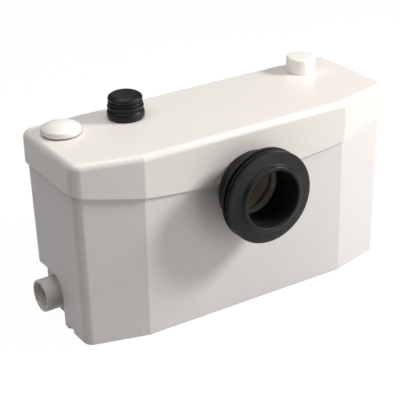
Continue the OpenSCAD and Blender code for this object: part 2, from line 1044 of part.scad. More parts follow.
module windings() {
    mid_r = (motor_r - can_wall + rotor_r + rotor_gap) / 2;
    half_w = (motor_r - can_wall - rotor_r) / 2 - 3;
    color([0.72, 0.42, 0.20])
    at_motor(0)
        for (z = [stator_z - coil_h, stator_z + stator_h])
            translate([0, 0, z])
                rotate_extrude()
                    band(mid_r - half_w, mid_r + half_w, 0, coil_h, 3);
}

module rotor() {
    color([0.50, 0.51, 0.53])
    at_motor(stator_z)
        tube(rotor_r, shaft_r, stator_h);
}

module shaft() {
    color(steel)
    at_motor(shaft_low)
        cylinder(r = shaft_r, h = shaft_high - shaft_low);
}

// Ball bearing drawn as one ring with shield grooves in both faces
module bearing() {
    groove = 0.6;
    rotate_extrude()
        difference() {
            translate([shaft_r + run_gap, 0])
                square([bearing_r - shaft_r - run_gap, bearing_h]);
            for (z = [0, bearing_h])
                translate([shaft_r + 2, z - groove])
                    square([bearing_r - shaft_r - 4, 2 * groove]);
        }
}

module lower_bearing() {
    color(steel)
    at_motor(can_z)
        bearing();
}

module upper_bearing() {
    color(steel)
    at_motor(bearing_top_z)
        bearing();
}

module shaft_seal() {
    color(rubber_black)
    at_motor(plate_z)
        tube(shaft_r + 4, shaft_r + run_gap, plate_t - 1);
}

module capacitor() {
    color([0.90, 0.90, 0.88])
    translate([capacitor_x, motor_y, can_z]) {
        rotate_extrude()
            intersection() {
                band(0, capacitor_r, 0, capacitor_h, 2);
                square([capacitor_r, capacitor_h]);
            }
        for (side = [-1, 1])
            translate([side * 6 - 0.5, -3, capacitor_h - eps])
                cube([1, 6, 8]);
    }
}

module terminal_block() {
    ways = 3;
    pitch = 10;
    block_w = 16;
    color([0.20, 0.21, 0.22])
    at_motor(motor_top)
        difference() {
            translate([-ways * pitch / 2, -block_w / 2, 0])
                cube([ways * pitch, block_w, block_h]);
            for (i = [0:ways - 1])
                translate([(i - (ways - 1) / 2) * pitch, 0, block_h - 6]) {
                    cylinder(r = 3, h = 7);
                    translate([-2.5, -block_w / 2 - 1, -4])
                        cube([5, block_w / 2 + 1, 6]);
                }
        }
}

module pressure_tube() {
    slot_h = 12;
    mouth_w = 10;
    foot_out = 6;
    foot_t = 3;
    seat_h = 4;
    color([0.80, 0.81, 0.80])
    at_switch(floor_t)
        difference() {
            union() {
                cylinder(r = switch_tube_r, h = tube_h);
                cylinder(r = switch_tube_r + foot_out, h = foot_t);
                translate([0, 0, tube_h - seat_h])
                    cylinder(r = diaphragm_r, h = seat_h);
            }
            translate([0, 0, -1])
                cylinder(r = switch_tube_r - switch_wall, h = tube_h + 2);
            for (turn = [0, 90])
                rotate(turn)
                    translate([-tube_d, -mouth_w / 2, -1])
                        cube([2 * tube_d, mouth_w, slot_h + 1]);
        }
}

module diaphragm() {
    color(rubber_black)
    at_switch(diaphragm_z)
        cylinder(r = diaphragm_r, h = diaphragm_t);
}

module diaphragm_cover() {
    cheek_t = 3;
    cheek_y = (switch_size.y + cheek_t) / 2;
    cheek_z = switch_cover_h - 1;
    cheek_top = switch_z + switch_size.z - switch_cover_z;
    rim_h = 4;
    roof_t = 4;
    drum_wall = 3;
    drum_r = plunger_foot_r + 7;
    color(pump_grey)
    at_switch(switch_cover_z)
        difference() {
            union() {
                rotate_extrude()
                    difference() {
                        union() {
                            square([diaphragm_r, rim_h]);
                            square([drum_r + drum_wall, switch_cover_h]);
                        }
                        translate([-far, -1])
                            square([far + drum_r, switch_cover_h - roof_t + 1]);
                        translate([-2 * far, -1])
                            square([2 * far, 2 * switch_cover_h]);
                    }
                for (side = [-1, 1])
                    translate([-switch_size.x / 2, side * cheek_y - cheek_t / 2, cheek_z])
                        cube([switch_size.x, cheek_t, cheek_top - cheek_z]);
            }
            translate([0, 0, -1])
                cylinder(r = plunger_r + run_gap, h = switch_cover_h + 2);
        }
}

module switch_plunger() {
    color([0.85, 0.30, 0.20])
    at_switch(switch_cover_z) {
        cylinder(r = plunger_foot_r, h = plunger_foot_t);
        cylinder(r = plunger_r, h = plunger_top - switch_cover_z);
    }
}

module microswitch() {
    screw_hole_r = 1.5;
    color([0.16, 0.17, 0.18])
    at_switch(switch_z)
        difference() {
            union() {
                translate([-switch_size.x / 2, -switch_size.y / 2, 0])
                    cube(switch_size);
                for (x = [-9, 0, 9])
                    translate([x - 2, -0.4, switch_size.z - eps])
                        cube([4, 0.8, 7]);
            }
            for (x = [-10, 10])
                translate([x, switch_size.y, switch_size.z / 2])
                    rotate([90, 0, 0])
                        cylinder(r = screw_hole_r, h = 2 * switch_size.y);
        }
}

module valve_body() {
    inside = valve_r - valve_wall;
    ear_in = 3.4;
    ear_w = 2.5;
    ear_r = 2.2;
    hinge_z = seat_z + seat_t + valve_flap_t;
    color([0.80, 0.81, 0.80])
    at_discharge(basket_z)
        difference() {
            union() {
                difference() {
                    cylinder(r = valve_r, h = valve_h);
                    translate([0, 0, -1])
                        cylinder(r = inside, h = valve_h + 2);
                }
                translate([0, 0, seat_z])
                    tube(inside + eps, seat_hole_r, seat_t);
                for (side = [-1, 1])
                    translate([-valve_hinge_x, side * (ear_in + ear_w / 2) + ear_w / 2, hinge_z])
                        rotate([90, 0, 0])
                            linear_extrude(ear_w) {
                                circle(r = ear_r);
                                translate([-ear_r, -valve_flap_t - eps])
                                    square([2 * ear_r, valve_flap_t + eps]);
                            }
            }
            translate([-valve_hinge_x, far, hinge_z])
                rotate([90, 0, 0])
                    cylinder(r = valve_pin_r, h = 2 * far);
        }
}

module discharge_flap() {
    knuckle = 2.2;
    hinge_z = seat_z + seat_t + valve_flap_t;
    color(rubber_black)
    at_discharge(basket_z)
        difference() {
            union() {
                translate([0, 0, seat_z + seat_t + seat_gap])
                    cylinder(r = valve_flap_r, h = valve_flap_t);
                translate([-valve_hinge_x, -2.5, seat_z + seat_t + seat_gap])
                    cube([valve_hinge_x, 5, valve_flap_t]);
                translate([-valve_hinge_x, 3, hinge_z])
                    rotate([90, 0, 0])
                        cylinder(r = knuckle - seat_gap, h = 6);
            }
            translate([-valve_hinge_x, far, hinge_z])
                rotate([90, 0, 0])
                    cylinder(r = valve_pin_r + run_gap, h = 2 * far);
        }
}

module valve_pin() {
    pin_l = 11.8;
    color(steel)
    at_discharge(basket_z + seat_z + seat_t + valve_flap_t)
        translate([-valve_hinge_x, pin_l / 2, 0])
            rotate([90, 0, 0])
                cylinder(r = valve_pin_r, h = pin_l);
}

module discharge_riser() {
    foot = basket_z + valve_h;
    color([0.80, 0.81, 0.80])
    at_discharge(0)
        difference() {
            union() {
                translate([0, 0, foot])
                    cylinder(r = valve_r, h = 6);
                translate([0, 0, foot])
                    cylinder(r = riser_r, h = plug_end - foot);
                translate([0, 0, plug_end - 4])
                    cylinder(r = socket_r, h = socket_top - plug_end + 4);
            }
            translate([0, 0, foot - 1])
                cylinder(r = riser_r - riser_wall, h = socket_top);
            translate([0, 0, plug_end - 1])
                cylinder(r = discharge_r + push_gap, h = socket_top);
        }
}

module discharge_spigot() {
    head_gap = 9;
    color(shell_white)
    at_discharge(0)
        difference() {
            union() {
                translate([0, 0, plug_end])
                    cylinder(r = discharge_r, h = housing_h + boot_h - head_gap - plug_end);
                translate([0, 0, lid_under - port_flange_t])
                    cylinder(r = discharge_r + port_flange, h = port_flange_t);
            }
            translate([0, 0, plug_end - 1])
                cylinder(r = discharge_r - discharge_wall, h = housing_h + boot_h - plug_end);
            translate([0, 0, plug_end + 6])
                tube(discharge_r + 1, discharge_r - 2 * ring_r, 2 * ring_r + 0.4);
        }
}

module riser_seal() {
    color(rubber_black)
    at_discharge(plug_end + 6 + ring_r + 0.2)
        rotate_extrude()
            translate([discharge_r - ring_r + 0.05, 0])
                circle(r = ring_r, $fn = 24);
}

module discharge_boot() {
    base_r = boot_d / 2;
    boot_wall = 4;
    core_r = discharge_r + boot_wall;
    roof_t = 6;
    base_h = 12;
    rib_z = 15.5;
    rib_t = 4;
    top_z = 21;
    rib_in = 1.2;
    top_in = 1.8;
    color(rubber_black)
    at_discharge(housing_h)
        rotate_extrude($fn = 96)
            difference() {
                union() {
                    square([core_r, boot_h - roof_t]);
                    band(0, base_r, 0, base_h, 4);
                    band(0, base_r - rib_in, rib_z, rib_z + rib_t, 1.2);
                    band(0, base_r - top_in, top_z, boot_h, 4);
                }
                translate([-far, -far])
                    square([far + discharge_r + push_gap, far + boot_h - roof_t]);
                translate([-2 * far, -far])
                    square([2 * far, 4 * far]);
            }
}

module vent_cap() {
    cap_r = vent_d / 2;
    rim_t = 6.5;
    crown = 5.5;
    crown_r = (cap_r * cap_r + crown * crown) / (2 * crown);
    leg_r = well_r - well_wall - filter_gap;
    leg_low = filter_h + well_wall - well_depth;
    color(cap_white)
    translate([vent_x, port_y, housing_h])
        difference() {
            rotate_extrude($fn = 96)
                difference() {
                    union() {
                        intersection() {
                            band(0, cap_r, vent_gap, vent_gap + rim_t + crown + 3, 3);
                            translate([0, vent_gap + rim_t + crown - crown_r])
                                circle(r = crown_r, $fn = 360);
                        }
                        translate([leg_r - 2, leg_low])
                            square([2, vent_gap + 4 - leg_low]);
                    }
                    translate([leg_r, vent_gap - 1])
                        square([cap_r - leg_r - 2.5, 4]);
                    translate([-far, leg_low - 1])
                        square([far + leg_r - 2, vent_gap + 4 - leg_low]);
                    translate([-2 * far, -far])
                        square([2 * far, 4 * far]);
                }
            for (turn = [0, 60, 120])
                rotate(turn)
                    translate([-leg_r - 1, -5, leg_low - 1])
                        cube([2 * leg_r + 2, 10, vent_gap - leg_low + 1]);
        }
}

// Cup for the filter, flanged under the lid's roof
module filter_cup() {
    color(shell_white)
    translate([vent_x, port_y, housing_h - well_depth])
        difference() {
            union() {
                cylinder(r = well_r, h = well_depth);
                translate([0, 0, well_depth - wall - port_flange_t])
                    cylinder(r = well_r + port_flange, h = port_flange_t);
            }
            translate([0, 0, well_wall])
                cylinder(r = well_r - well_wall, h = well_depth);
            translate([0, 0, -1])
                cylinder(r = well_hole_r, h = well_depth);
        }
}

module charcoal_filter() {
    color([0.10, 0.10, 0.11])
    translate([vent_x, port_y, housing_h - well_depth + well_wall])
        tube(well_r - well_wall - filter_gap, well_hole_r / 2, filter_h);
}

module upper_spigot() {
    length = port_drop + wall + upper_cap_h - upper_cap_wall;
    color(shell_white)
    at_upper(lid_under - port_drop)
        difference() {
            union() {
                cylinder(r = upper_r, h = length);
                translate([0, 0, port_drop - port_flange_t])
                    cylinder(r = upper_r + port_flange, h = port_flange_t);
            }
            translate([0, 0, -1])
                cylinder(r = upper_r - upper_wall, h = length + 2);
        }
}

module upper_inlet_cap() {
    inside = upper_r + push_gap;
    lift = 0.3;
    step_down = 8;
    color(cap_white)
    at_upper(housing_h)
        rotate_extrude($fn = 96)
            difference() {
                union() {
                    band(0, inside + upper_cap_wall + 0.8, lift, upper_cap_h, 2.5);
                    translate([0, lift])
                        square([inside + upper_cap_wall + 0.8, 6]);
                }
                translate([inside + upper_cap_wall + 0.2, upper_cap_h - step_down])
                    square([2, 1]);
                translate([-far, -1])
                    square([far + inside, upper_cap_h - upper_cap_wall + 1]);
                translate([-2 * far, -far])
                    square([2 * far, 4 * far]);
            }
}

module cable_gland() {
    cord_r = 4;
    color([0.25, 0.26, 0.27])
    translate([gland_face, gland_y, gland_z])
        rotate([0, 90, 0])
            difference() {
                union() {
                    cylinder(r = gland_hex_r, h = 4, $fn = 6);
                    rotate_extrude()
                        intersection() {
                            band(0, gland_r + 1.5, 0, 10, 2.5);
                            square(far);
                        }
                    translate([0, 0, -gland_pad_t - 8])
                        cylinder(r = gland_r, h = gland_pad_t + 8 + eps);
                }
                translate([0, 0, -far])
                    cylinder(r = cord_r, h = 2 * far);
            }
}

module gland_nut() {
    nut_h = 5;
    color([0.25, 0.26, 0.27])
    translate([gland_inside - nut_h, gland_y, gland_z])
        rotate([0, 90, 0])
            difference() {
                cylinder(r = gland_hex_r, h = nut_h, $fn = 6);
                translate([0, 0, -1])
                    cylinder(r = gland_r + run_gap, h = nut_h + 2);
            }
}

tank();
lid();
lid_gasket();
inlet_sleeve();
inlet_chute();
left_inlet();
right_inlet();
left_flap();
right_flap();
flap_pins();
basket();
pump_casing();
pump_cover();
impeller();
impeller_nut();
cutter();
motor_posts();
motor_plate();
motor_plate_screws();
motor_can();
motor_cap();
stator();
windings();
rotor();
shaft();
lower_bearing();
upper_bearing();
shaft_seal();
capacitor();
terminal_block();
pressure_tube();
diaphragm();
diaphragm_cover();
switch_plunger();
microswitch();
valve_body();
discharge_flap();
valve_pin();
discharge_riser();
riser_seal();
discharge_spigot();
discharge_boot();
vent_cap();
filter_cup();
charcoal_filter();
upper_spigot();
upper_inlet_cap();
cable_gland();
gland_nut();
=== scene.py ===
"""Macerator toilet pump: moulded shells, rubber pieces, finishes, studio and camera."""

import json
import logging
import math
from collections.abc import Sequence
from dataclasses import dataclass, field
from enum import Enum

import bmesh
import bpy
from mathutils import Matrix, Vector


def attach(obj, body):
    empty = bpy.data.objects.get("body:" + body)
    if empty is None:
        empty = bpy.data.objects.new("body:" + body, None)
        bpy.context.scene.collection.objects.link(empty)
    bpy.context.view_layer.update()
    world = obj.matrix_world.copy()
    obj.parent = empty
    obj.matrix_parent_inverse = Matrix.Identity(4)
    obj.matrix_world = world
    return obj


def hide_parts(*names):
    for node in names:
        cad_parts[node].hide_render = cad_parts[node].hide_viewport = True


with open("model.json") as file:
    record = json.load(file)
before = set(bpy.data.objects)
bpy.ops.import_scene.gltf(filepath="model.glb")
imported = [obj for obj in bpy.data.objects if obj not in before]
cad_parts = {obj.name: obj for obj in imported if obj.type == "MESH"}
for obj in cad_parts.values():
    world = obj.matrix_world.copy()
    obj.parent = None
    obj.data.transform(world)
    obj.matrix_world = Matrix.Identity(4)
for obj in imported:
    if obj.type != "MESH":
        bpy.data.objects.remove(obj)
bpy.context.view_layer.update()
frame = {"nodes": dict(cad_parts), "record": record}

LOG = logging.getLogger("macerator")
MM = 0.001
LID_TOP = 269.0
Colour = tuple[float, float, float]
Point = tuple[float, float, float]

# Distances, in millimetres, within which vertices are one and lie on a ring.
MERGE_MM = 0.001
RING_MM = 0.002
ROUND_SEGMENTS = 5

# Angles, in degrees, above which an edge stays crisp.
SHARP_TURNED = 40.0
SHARP_SHELL = 32.0

# Range in which most values of a noise pattern lie.
NOISE_LOW = 0.3
NOISE_HIGH = 0.7


class Slot(Enum):
    """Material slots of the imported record, and the side inlet tube's own finish."""

    SHELL = "shell"
    LID_SHELL = "lid_shell"
    CAP = "cap"
    RUBBER = "rubber"
    INNER_PLASTIC = "inner_plastic"
    TUBE = "inlet_tube"
    PUMP_PLASTIC = "pump_plastic"
    DARK_PLASTIC = "dark_plastic"
    RED_PLASTIC = "red_plastic"
    CAPACITOR = "capacitor"
    MOTOR_CASE = "motor_case"
    LAMINATIONS = "laminations"
    COPPER = "copper"
    STEEL = "steel"
    CHARCOAL = "charcoal"


class Body(Enum):
    """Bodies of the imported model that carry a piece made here."""

    TANK = "tank"
    LID = "lid"
    VENT_CAP = "vent_cap"
    UPPER_CAP = "upper_cap"


class Axis(Enum):
    """Directions in which a turned piece's own +Z can point: degrees and axis."""

    UP = (0, "X")
    TO_PAN = (90, "X")
    TO_LEFT = (-90, "Y")
    TO_RIGHT = (90, "Y")

    def turn(self) -> Matrix:
        """Returns the rotation from +Z to this direction."""
        degrees, about = self.value
        return Matrix.Rotation(math.radians(degrees), 4, about)


class NodeBoard:
    """Node tree of one material, with short ways to add and join nodes."""

    def __init__(self, name: str) -> None:
        """Starts a material with an empty tree, a shader and an output.

        Args:
            name: Name of the material.
        """
        self.material = bpy.data.materials.new(name)
        self.material.use_nodes = True
        self.tree = self.material.node_tree
        self.tree.nodes.clear()
        self.shader = self.add("ShaderNodeBsdfPrincipled")
        output = self.add("ShaderNodeOutputMaterial")
        self.join(self.shader.outputs["BSDF"], output.inputs["Surface"])
        self.place = self.add("ShaderNodeTexCoord").outputs["Object"]

    def add(self, kind: str, **settings: object) -> bpy.types.Node:
        """Adds a node.

        Args:
            kind: Blender's type name of the node.
            settings: Attributes to set on it.

        Returns:
            The new node.
        """
        node = self.tree.nodes.new(kind)
        for key, value in settings.items():
            setattr(node, key, value)
        return node

    def join(self, out: bpy.types.NodeSocket, into: bpy.types.NodeSocket) -> None:
        """Links one socket to another."""
        self.tree.links.new(out, into)

    def stretched(self, scale: Point) -> bpy.types.NodeSocket:
        """Scales the object coordinates.

        Args:
            scale: Factor along each axis.

        Returns:
            The scaled coordinates.
        """
        mapping = self.add("ShaderNodeMapping")
        mapping.inputs["Scale"].default_value = scale
        self.join(self.place, mapping.inputs["Vector"])
        return mapping.outputs["Vector"]

    def noise(
        self, scale: float, detail: float, at: bpy.types.NodeSocket | None = None
    ) -> bpy.types.NodeSocket:
        """Adds a noise pattern.

        Args:
            scale: Cells per metre.
            detail: Number of finer octaves.
            at: Coordinates to read, the object's own where none are given.

        Returns:
            The pattern's value socket.
        """
        node = self.add("ShaderNodeTexNoise")
        node.inputs["Scale"].default_value = scale
        node.inputs["Detail"].default_value = detail
        self.join(at or self.place, node.inputs["Vector"])
        return node.outputs["Fac"]

    def ranged(
        self, value: bpy.types.NodeSocket, low: float, high: float
    ) -> bpy.types.NodeSocket:
        """Spreads a pattern's middle part, where most of its values lie.

        Args:
            value: The pattern.
            low: Result for its low values.
            high: Result for its high values.

        Returns:
            The spread pattern.
        """
        node = self.add("ShaderNodeMapRange")
        node.inputs["From Min"].default_value = NOISE_LOW
        node.inputs["From Max"].default_value = NOISE_HIGH
        node.inputs["To Min"].default_value = low
        node.inputs["To Max"].default_value = high
        self.join(value, node.inputs["Value"])
        return node.outputs["Result"]

    def mixed(
        self, value: bpy.types.NodeSocket, low: Colour, high: Colour
    ) -> bpy.types.NodeSocket:
        """Makes a colour that runs with a pattern.

        Args:
            value: The pattern, from 0 to 1.
            low: Colour at 0.
            high: Colour at 1.

        Returns:
            The colour.
        """
        node = self.add("ShaderNodeMix", data_type="RGBA")
        colours = [s for s in node.inputs if s.type == "RGBA"]
        colours[0].default_value = (*low, 1.0)
        colours[1].default_value = (*high, 1.0)
        self.join(value, node.inputs["Factor"])
        return next(s for s in node.outputs if s.type == "RGBA")

    def bump(self, height: bpy.types.NodeSocket, depth: float) -> None:
        """Raises the surface by a pattern.

        Args:
            height: The pattern, from 0 to 1.
            depth: Height in metres at 1.
        """
        node = self.add("ShaderNodeBump")
        node.inputs["Strength"].default_value = 1.0
        node.inputs["Distance"].default_value = depth
        self.join(height, node.inputs["Height"])
        self.join(node.outputs["Normal"], self.shader.inputs["Normal"])


@dataclass(frozen=True)
class Finish:
    """Moulded or drawn surface: a drifting colour, uneven gloss and a fine grain."""

    slot: Slot
    colour: Colour
    roughness: float
    drift: float = 0.03
    drift_scale: float = 18.0
    gloss_drift: float = 0.04
    gloss_scale: float = 60.0
    grain_scale: float = 1400.0
    grain_depth: float = 0.00002
    metallic: float = 0.0
    coat: float = 0.0
    shine: float = 0.5
    drift_detail: float = 4.0
    gloss_detail: float = 3.0
    grain_detail: float = 2.0

    def shade(self, factor: float) -> Colour:
        """Returns the colour made lighter or darker by a factor."""
        return tuple(min(1.0, c * factor) for c in self.colour)

    def pattern(self, board: NodeBoard) -> bpy.types.NodeSocket:
        """Returns the pattern that the colour follows."""
        return board.ranged(board.noise(self.drift_scale, self.drift_detail), 0.0, 1.0)

    def grain(self, board: NodeBoard) -> bpy.types.NodeSocket:
        """Returns the pattern that the surface relief follows."""
        return board.noise(self.grain_scale, self.grain_detail)

    def material(self) -> bpy.types.Material:
        """Builds the node material of this finish.

        Returns:
            The new material, named after the slot.
        """
        board = NodeBoard(self.slot.value)
        shader = board.shader
        colour = board.mixed(
            self.pattern(board), self.shade(1 - self.drift), self.shade(1 + self.drift)
        )
        board.join(colour, shader.inputs["Base Color"])
        gloss = board.ranged(
            board.noise(self.gloss_scale, self.gloss_detail),
            self.roughness - self.gloss_drift,
            self.roughness + self.gloss_drift,
        )
        board.join(gloss, shader.inputs["Roughness"])
        board.bump(self.grain(board), self.grain_depth)
        shader.inputs["Metallic"].default_value = self.metallic
        shader.inputs["Coat Weight"].default_value = self.coat
        shader.inputs["Specular IOR Level"].default_value = self.shine
        return board.material


@dataclass(frozen=True)
class BrushedFinish(Finish):
    """Turned metal with fine marks round the vertical axis."""

    stretch: Point = (0.15, 0.15, 2.0)

    def grain(self, board: NodeBoard) -> bpy.types.NodeSocket:
        """Returns marks that are long across and short upwards."""
        return board.noise(self.grain_scale, self.grain_detail, board.stretched(self.stretch))


@dataclass(frozen=True)
class StackedFinish(Finish):
    """Stacked sheets or wound wire, seen as level lines."""

    line_scale: float = 900.0
    waviness: float = 0.6

    def grain(self, board: NodeBoard) -> bpy.types.NodeSocket:
        """Adds level lines up the vertical axis.

        Args:
            board: Node tree of the material.

        Returns:
            The pattern of the lines.
        """
        wave = board.add("ShaderNodeTexWave", wave_type="BANDS", bands_direction="Z")
        wave.inputs["Scale"].default_value = self.line_scale
        wave.inputs["Distortion"].default_value = self.waviness
        board.join(board.place, wave.inputs["Vector"])
        return wave.outputs["Fac"]


@dataclass(frozen=True)
class GranularFinish(Finish):
    """Pressed granules."""

    def grain(self, board: NodeBoard) -> bpy.types.NodeSocket:
        """Adds the rounded cells of the granules.

        Args:
            board: Node tree of the material.

        Returns:
            The pattern of the cells.
        """
        cells = board.add("ShaderNodeTexVoronoi")
        cells.inputs["Scale"].default_value = self.grain_scale
        board.join(board.place, cells.inputs["Vector"])
        return cells.outputs["Distance"]


FINISHES: tuple[Finish, ...] = (
    Finish(Slot.SHELL, (0.805, 0.760, 0.735), 0.36, drift=0.012, grain_depth=0.000012),
    Finish(
        Slot.LID_SHELL, (0.875, 0.818, 0.772), 0.34, drift=0.010, grain_depth=0.000010
    ),
    Finish(
        Slot.CAP, (0.95, 0.905, 0.850), 0.36, drift=0.008, drift_scale=30.0,
        grain_scale=400.0, grain_depth=0.000002,
    ),
    Finish(
        Slot.RUBBER, (0.0150, 0.0156, 0.0142), 0.37, drift=0.22, drift_scale=45.0,
        gloss_drift=0.08, grain_scale=1800.0, grain_depth=0.00003, shine=0.21,
    ),
    Finish(Slot.INNER_PLASTIC, (0.82, 0.74, 0.60), 0.48, drift=0.03),
    Finish(Slot.TUBE, (0.760, 0.725, 0.655), 0.42, drift=0.02, grain_depth=0.000012),
    Finish(
        Slot.PUMP_PLASTIC, (0.23, 0.24, 0.26), 0.55, drift=0.10, grain_depth=0.00004
    ),
    Finish(Slot.DARK_PLASTIC, (0.045, 0.046, 0.050), 0.46, drift=0.12),
    Finish(Slot.RED_PLASTIC, (0.55, 0.06, 0.035), 0.42, drift=0.05),
    Finish(Slot.CAPACITOR, (0.78, 0.78, 0.75), 0.32, drift=0.02),
    Finish(
        Slot.MOTOR_CASE, (0.33, 0.34, 0.36), 0.40, drift=0.06, coat=0.3,
        grain_scale=700.0, grain_depth=0.00005,
    ),
    StackedFinish(
        Slot.LAMINATIONS, (0.26, 0.26, 0.27), 0.45, drift=0.12, metallic=0.8,
        grain_depth=0.0001,
    ),
    StackedFinish(
        Slot.COPPER, (0.62, 0.27, 0.11), 0.34, drift=0.15, metallic=0.9, coat=0.4,
        grain_depth=0.0002,
    ),
    BrushedFinish(
        Slot.STEEL, (0.58, 0.585, 0.595), 0.30, drift=0.06, gloss_drift=0.08,
        metallic=1.0, grain_depth=0.00002,
    ),
    GranularFinish(
        Slot.CHARCOAL, (0.018, 0.018, 0.019), 0.80, drift=0.30, drift_scale=400.0,
        grain_scale=700.0, grain_depth=0.0006,
    ),
)


@dataclass(frozen=True)
class Corner:
    """Corner of a turned profile, in millimetres: radius, height and rounding."""

    r: float
    z: float
    rounding: float = 0.0


@dataclass(frozen=True)
class Band:
    """Rib or groove round a turned piece, in millimetres, in the profile's direction."""

    r: float
    start: float
    end: float
    round_start: float
    round_end: float
    taper: float = 0.0

    def corners(self) -> tuple[Corner, Corner]:
        """Returns the two corners, of which the first is smaller by the taper."""
        first = Corner(self.r - self.taper, self.start, self.round_start)
        return first, Corner(self.r, self.end, self.round_end)


def turned(corners: Sequence[Corner], closed: bool, steps: int) -> bmesh.types.BMesh:
    """Turns a profile round the Z axis and rounds its corners.

    Args:
        corners: Corners of the profile in order.
        closed: Whether the last corner joins the first, as on a ring.
        steps: Number of steps in the full turn.

    Returns:
        A closed mesh in metres, standing on the origin.
    """
    bm = bmesh.new()
    verts = [bm.verts.new((c.r * MM, 0.0, c.z * MM)) for c in corners]
    pairs = list(zip(verts, verts[1:]))
    if closed:
        pairs.append((verts[-1], verts[0]))
    edges = [bm.edges.new(pair) for pair in pairs]
    bmesh.ops.spin(
        bm, geom=verts + edges, cent=(0, 0, 0), axis=(0, 0, 1),
        angle=2 * math.pi, steps=steps, use_merge=True,
    )
    bmesh.ops.remove_doubles(bm, verts=bm.verts, dist=MERGE_MM * MM)
    bmesh.ops.recalc_face_normals(bm, faces=bm.faces)
    for corner in corners:
        if corner.rounding:
            bmesh.ops.bevel(
                bm, geom=ring_of(bm, corner), offset=corner.rounding * MM,
                offset_type="OFFSET", affect="EDGES", segments=ROUND_SEGMENTS, profile=0.5,
                material=-1, clamp_overlap=True,
            )
    return bm


def ring_of(bm: bmesh.types.BMesh, corner: Corner) -> list[bmesh.types.BMEdge]:
    """Finds the edges that a corner of the profile left round the axis.

    Args:
        bm: Turned mesh.
        corner: The corner to look for.

    Returns:
        The edges of its ring.
    """
    def on_ring(v: bmesh.types.BMVert) -> bool:
        """Tells whether a vertex lies on the corner's ring."""
        out = abs(math.hypot(v.co.x, v.co.y) - corner.r * MM)
        return max(out, abs(v.co.z - corner.z * MM)) < RING_MM * MM

    return [e for e in bm.edges if on_ring(e.verts[0]) and on_ring(e.verts[1])]


def piece_from(
    bm: bmesh.types.BMesh, name: str, body: Body, sharp_deg: float = SHARP_TURNED
) -> bpy.types.Object:
    """Makes a finished piece from a mesh and lets it ride on a body.

    Args:
        bm: Mesh in place, in metres. It is freed.
        name: Name of the piece.
        body: Body that carries it.
        sharp_deg: Edges sharper than this stay crisp.

    Returns:
        The new object.
    """
    mesh = bpy.data.meshes.new(name)
    bm.to_mesh(mesh)
    bm.free()
    mesh.polygons.foreach_set("use_smooth", [True] * len(mesh.polygons))
    mesh.set_sharp_from_angle(angle=math.radians(sharp_deg))
    piece = bpy.data.objects.new(name, mesh)
    bpy.context.scene.collection.objects.link(piece)
    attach(piece, body.value)
    return piece


@dataclass
class Workshop:
    """Finishes made ready once, for every piece and carried-over node."""

    materials: dict[Slot, bpy.types.Material] = field(default_factory=dict)

    def mix(self, finishes: Sequence[Finish]) -> None:
        """Builds the material of every finish."""
        for finish in finishes:
            self.materials[finish.slot] = finish.material()

    def coat(self, piece: bpy.types.Object, slot: Slot) -> None:
        """Gives a piece the material of one slot, and no other."""
        piece.data.materials.clear()
        piece.data.materials.append(self.materials[slot])

    def coat_nodes(self) -> int:
        """Gives every carried-over node its slot's material.

        Returns:
            The number of nodes dressed.
        """
        subparts = frame["record"]["subparts"]
        for part in subparts:
            self.coat(frame["nodes"][part["node"]], Slot(part["material_slot"]))
        return len(subparts)


@dataclass
class MouldedShell:
    """Tank or lid with softened edges and even shading over its curves."""

    node: str
    name: str
    body: Body
    slot: Slot
    edge_round: float = 0.7
    edge_segments: int = 3
    weld: float = 0.004
    flat_deg: float = 0.4

    def build(self) -> bpy.types.Object:
        """Makes the shell from the node's own shape.

        Returns:
            The shell, standing for the node.
        """
        bm = bmesh.new()
        bm.from_mesh(frame["nodes"][self.node].data)
        bmesh.ops.remove_doubles(bm, verts=bm.verts, dist=self.weld * MM)
        bmesh.ops.dissolve_limit(
            bm, angle_limit=math.radians(self.flat_deg), use_dissolve_boundaries=False,
            verts=bm.verts, edges=bm.edges,
        )
        shell = piece_from(bm, self.name, self.body, sharp_deg=SHARP_SHELL)
        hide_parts(self.node)
        return shell

    def dress(self, shell: bpy.types.Object, workshop: Workshop) -> None:
        """Softens the edges and adds the finish.

        Args:
            shell: The shell to dress.
            workshop: Holder of the finishes.
        """
        soft = shell.modifiers.new("soft_edges", "BEVEL")
        soft.width = self.edge_round * MM
        soft.segments = self.edge_segments
        soft.limit_method = "ANGLE"
        soft.angle_limit = math.radians(SHARP_SHELL)
        soft.harden_normals = False
        even = shell.modifiers.new("even_shading", "WEIGHTED_NORMAL")
        even.keep_sharp = True
        workshop.coat(shell, self.slot)


@dataclass
class TurnedPiece:
    """Piece turned from a profile on one of the pump's axes, in millimetres."""

    name: str
    axis: Axis
    place: Point
    body: Body
    slot: Slot
    node: str | None = None
    steps: int = 128
    ring: bool = False

    def profile(self) -> list[Corner]:
        """Returns the corners of the wall, in order round the section."""
        raise NotImplementedError

    def trim(self, bm: bmesh.types.BMesh) -> None:
        """Adds what isn't round, before the piece is put in place."""

    def build(self) -> bpy.types.Object:
        """Turns the piece and puts it on its axis.

        Returns:
            The piece, standing for its node where it has one.
        """
        bm = turned(self.profile(), closed=self.ring, steps=self.steps)
        self.trim(bm)
        place = Matrix.Translation(Vector(self.place) * MM)
        bmesh.ops.transform(bm, matrix=place @ self.axis.turn(), verts=bm.verts)
        piece = piece_from(bm, self.name, self.body)
        if self.node:
            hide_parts(self.node)
        return piece

    def dress(self, piece: bpy.types.Object, workshop: Workshop) -> None:
        """Adds the finish."""
        workshop.coat(piece, self.slot)


